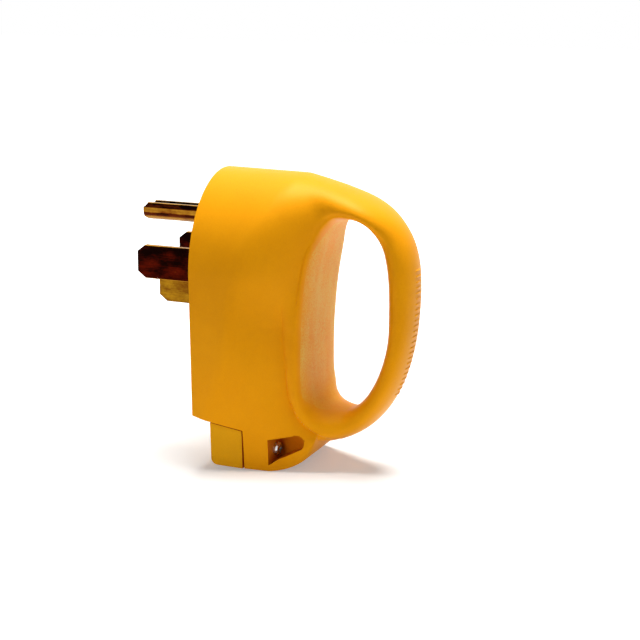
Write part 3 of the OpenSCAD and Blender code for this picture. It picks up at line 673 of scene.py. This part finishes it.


# ---- Blades and ground pin ----
# Four contacts stamped or rolled from 2 mm brass strip. The drawing and handling leave fine lines
# along them, and the bare brass has gone brown in patches and bands. Part of the banding is painted
# light: painted highlights on top and bottom edges and painted dark reflections on flat sides.

def brass(name, lit, deep, bands, bottom, height):
    """Drawn brass with fine lines along it. bands gives how bright it is, painted highlights and
    painted dark reflections included, as (share of the height, brightness) from bottom, in
    millimetres, upwards."""
    material, tree, shader = new_material(name)
    place = add(tree, "ShaderNodeTexCoord").outputs["Object"]
    # draw lines: 0.25 mm apart and some 12 mm long
    lines = add(tree, "ShaderNodeMapping", None, {"Vector": place, "Scale": (80, 4000, 4000)})
    streaks = add(tree, "ShaderNodeTexNoise", None,
                  {"Vector": lines.outputs[0], "Scale": 1.0, "Detail": 4.0})
    # handling: brown patches about 9 mm long and 4 mm across
    smear = add(tree, "ShaderNodeMapping", None, {"Vector": place, "Scale": (110, 260, 260)})
    patches = add(tree, "ShaderNodeTexNoise", None,
                  {"Vector": smear.outputs[0], "Scale": 1.0, "Detail": 8.0, "Roughness": 0.68})
    level = add(tree, "ShaderNodeSeparateXYZ", None, {0: place})
    level = add(tree, "ShaderNodeMapRange", None,
                {"Value": level.outputs["Z"], "From Min": bottom / 1000,
                 "From Max": (bottom + height) / 1000, "To Min": -0.025, "To Max": 0.975})
    # the bands' edges wander by a twentieth of the height, with the patches
    wander = add(tree, "ShaderNodeMath", {"operation": "MULTIPLY_ADD"},
                 {0: patches.outputs["Fac"], 1: 0.05, 2: level.outputs["Result"]})
    band = add(tree, "ShaderNodeValToRGB", None, {"Fac": wander.outputs[0]})
    ramp = band.color_ramp
    while len(ramp.elements) < len(bands):
        ramp.elements.new(0.5)
    for element, (where, share) in zip(ramp.elements, bands):
        element.position = where
        element.color = (share, share, share, 1)
    lined = add(tree, "ShaderNodeMath", {"operation": "MULTIPLY_ADD"},
                {0: streaks.outputs["Fac"], 1: 0.5, 2: band.outputs["Color"]})
    mottled = add(tree, "ShaderNodeMath", {"operation": "MULTIPLY_ADD"},
                  {0: patches.outputs["Fac"], 1: 1.1, 2: lined.outputs[0]})
    tarnish_and_painted_light = add(tree, "ShaderNodeMapRange", None,
                  {"Value": mottled.outputs[0], "From Min": 0.8, "From Max": 1.8})
    # from near-black, over a deep brown, to clean brass: dark bands give painted dark reflections,
    # bright bands painted highlights
    colour = add(tree, "ShaderNodeValToRGB", None, {"Fac": tarnish_and_painted_light.outputs["Result"]})
    colour.color_ramp.elements[0].color = linear("0C0201")
    colour.color_ramp.elements[1].color = linear(lit)
    colour.color_ramp.elements.new(0.35).color = linear(deep)
    tree.links.new(colour.outputs["Color"], shader.inputs["Base Color"])
    gloss = add(tree, "ShaderNodeMapRange", None,
                {"Value": streaks.outputs["Fac"], "To Min": 0.22, "To Max": 0.42})
    tree.links.new(gloss.outputs["Result"], shader.inputs["Roughness"])
    bump = add(tree, "ShaderNodeBump", None,
               {"Height": streaks.outputs["Fac"], "Strength": 0.25, "Distance": 0.0001})
    tree.links.new(bump.outputs["Normal"], shader.inputs["Normal"])
    shader.inputs["Metallic"].default_value = 1.0
    return material


# the line blades' sides are dark brown, partly tarnish and partly a painted dark reflection, and
# their top and bottom edges carry a painted gold highlight
tarnish_and_glint_brass = brass("tarnish_and_glint_brass", "C8902E", "4C0E03",
                    ((0.0, 0.9), (0.02, 0.15), (0.4, 0.12), (0.65, 0.02), (0.85, -0.2),
                     (0.98, -0.2), (0.988, 1.0)), -8.05, 16.1)
# the ground pin is gold below, with a brown line at mid-height, a painted dark reflection where its
# walls are flat, and a painted highlight along its top edge
banded_brass = brass("banded_brass", "BE8C28", "5C2004",
                     ((0.0, 0.7), (0.22, 0.62), (0.3, 0.2), (0.42, 0.2), (0.48, 0.62),
                      (0.69, 0.62), (0.74, -0.9), (0.975, -0.9), (0.985, 1.0)), 16.9, 8.75)
# the neutral blade is the cleanest: dull gold, a little darker upwards
drawn_brass = brass("drawn_brass", "BC8E1C", "5E3006",
                    ((0.0, 0.62), (0.5, 0.55), (1.0, 0.45)), -23.7, 15.1)
for node, finish in (("ground_pin", banded_brass), ("neutral_blade", drawn_brass),
                     ("line_blade_left", tarnish_and_glint_brass), ("line_blade_right", tarnish_and_glint_brass)):
    dressed(node, finish, 0.2)


# ---- Terminal block ----
# A black phenolic moulding that carries the four contacts, with ribs between them. Phenolic is
# near-black and half glossy, with faint grey clouds, here about 8 mm across.

material, tree, shader = new_material("black_phenolic")
place = add(tree, "ShaderNodeTexCoord").outputs["Object"]
clouds = add(tree, "ShaderNodeTexNoise", None, {"Vector": place, "Scale": 120.0, "Detail": 3.0})
colour = add(tree, "ShaderNodeMix", {"data_type": "RGBA"},
             {"Factor": clouds.outputs["Fac"], 6: linear("141414"), 7: linear("262423")})
tree.links.new(colour.outputs[2], shader.inputs["Base Color"])
gloss = add(tree, "ShaderNodeMapRange", None,
            {"Value": clouds.outputs["Fac"], "To Min": 0.3, "To Max": 0.5})
tree.links.new(gloss.outputs["Result"], shader.inputs["Roughness"])
shader.inputs["IOR"].default_value = 1.6
dressed("terminal_block", material, 0.3)


# ---- Wire clamps, nuts and screws ----
# Plain steel hardware. The wire clamps, the nuts and the terminal and cord clamp screws are
# bright zinc plated, the face and block screws black oxide.

def plated_steel(name, lit, deep, smoothest, roughest):
    """Steel with a thin plating, whose colour and gloss cloud a little in spots 2.5 mm across."""
    material, tree, shader = new_material(name)
    place = add(tree, "ShaderNodeTexCoord").outputs["Object"]
    spots = add(tree, "ShaderNodeTexNoise", None, {"Vector": place, "Scale": 400.0, "Detail": 4.0})
    colour = add(tree, "ShaderNodeMix", {"data_type": "RGBA"},
                 {"Factor": spots.outputs["Fac"], 6: linear(deep), 7: linear(lit)})
    tree.links.new(colour.outputs[2], shader.inputs["Base Color"])
    gloss = add(tree, "ShaderNodeMapRange", None,
                {"Value": spots.outputs["Fac"], "To Min": smoothest, "To Max": roughest})
    tree.links.new(gloss.outputs["Result"], shader.inputs["Roughness"])
    shader.inputs["Metallic"].default_value = 1.0
    return material


# bright zinc is a cool, slightly milky mirror; black oxide is near-black with an oily sheen
bright_zinc = plated_steel("bright_zinc_plate", "DCDCDA", "B4B5B6", 0.18, 0.34)
black_oxide = plated_steel("black_oxide", "3A3836", "201F1E", 0.3, 0.45)
for node in ("ground_wire_clamp", "neutral_wire_clamp", "line_wire_clamp_left",
             "line_wire_clamp_right", "ground_terminal_screw", "neutral_terminal_screw",
             "line_terminal_screw_left", "line_terminal_screw_right", "clamp_screw_left",
             "clamp_screw_right"):
    dressed(node, bright_zinc, 0.15)
dressed("clamp_nuts", bright_zinc, 0.2)
for node in ("face_screws", "block_screws"):
    dressed(node, black_oxide, 0.15)


# ---- Floor, lights and surroundings ----
# A pale floor just under the plug and white surroundings. A large soft lamp hangs high over the
# grip, a weak one stands on the camera's right, and a small dim one near the floor on the left
# lights the clamp and the neck's foot.

bm = bmesh.new()
bmesh.ops.create_grid(bm, x_segments=1, y_segments=1, size=6)
floor = new_object("floor", bm)
floor.location = (0, 0, -neck_bottom / 1000 - 0.0002)
# matt paint, light grey; the eye and reflections see it brighten to white away from the plug
material, tree, shader = new_material("pale_floor")
tree.nodes.remove(shader)
output = tree.nodes["Material Output"]
seen = add(tree, "ShaderNodeLightPath")
any_view = add(tree, "ShaderNodeMath", {"operation": "MAXIMUM"},
               {0: seen.outputs["Is Camera Ray"], 1: seen.outputs["Is Glossy Ray"]})
paint = add(tree, "ShaderNodeBsdfDiffuse", None, {"Color": linear("EAEAE8")})
place = add(tree, "ShaderNodeTexCoord").outputs["Object"]
away_from_plug = add(tree, "ShaderNodeVectorMath", {"operation": "LENGTH"}, {0: place})
strength = add(tree, "ShaderNodeMapRange", None,
               {"Value": away_from_plug.outputs["Value"], "From Min": 0.15, "From Max": 0.7,
                "To Min": 0.3, "To Max": 1.0})
glow = add(tree, "ShaderNodeEmission", None,
           {"Color": (1, 1, 1, 1), "Strength": strength.outputs["Result"]})
lifted = add(tree, "ShaderNodeAddShader", None, {0: paint.outputs[0], 1: glow.outputs[0]})
final = add(tree, "ShaderNodeMixShader", None,
            {0: any_view.outputs[0], 1: paint.outputs[0], 2: lifted.outputs[0]})
tree.links.new(final.outputs[0], output.inputs["Surface"])
coat(floor, material)

# white to the eye and in reflections, but a dim light, so that the lamps model the form
world = bpy.data.worlds.new("white_surroundings")
bpy.context.scene.world = world
world.use_nodes = True
tree = world.node_tree
seen = add(tree, "ShaderNodeLightPath")
seen_through = add(tree, "ShaderNodeMath", {"operation": "MAXIMUM"},
                   {0: seen.outputs["Is Camera Ray"], 1: seen.outputs["Is Transmission Ray"]})
any_view = add(tree, "ShaderNodeMath", {"operation": "MAXIMUM"},
               {0: seen_through.outputs[0], 1: seen.outputs["Is Glossy Ray"]})
strength = add(tree, "ShaderNodeMapRange", None,
               {"Value": any_view.outputs[0], "To Min": 0.16, "To Max": 1.0})
background = tree.nodes["Background"]
background.inputs["Color"].default_value = (1, 1, 1, 1)
tree.links.new(strength.outputs["Result"], background.inputs["Strength"])


def soft_lamp(name, place, aim, size, power, spread=180):
    """A round area lamp: metres, watts and degrees."""
    lamp = bpy.data.lights.new(name, "AREA")
    lamp.shape, lamp.size, lamp.energy, lamp.spread = "DISK", size, power, math.radians(spread)
    obj = bpy.data.objects.new(name, lamp)
    obj.location = place
    obj.rotation_euler = (Vector(aim) - Vector(place)).to_track_quat("-Z", "Y").to_euler()
    bpy.context.scene.collection.objects.link(obj)


soft_lamp("key_lamp", (0.1, 0.1, 1.0), (0.03, 0, -0.02), 0.6, 19.5)
soft_lamp("fill_lamp", (0.9, -0.5, 0.4), (0.05, 0, -0.02), 0.7, 0.3)
soft_lamp("low_lamp", (0.0, -0.17, -0.092), (0.025, -0.03, -0.1), 0.08, 0.005, 50)
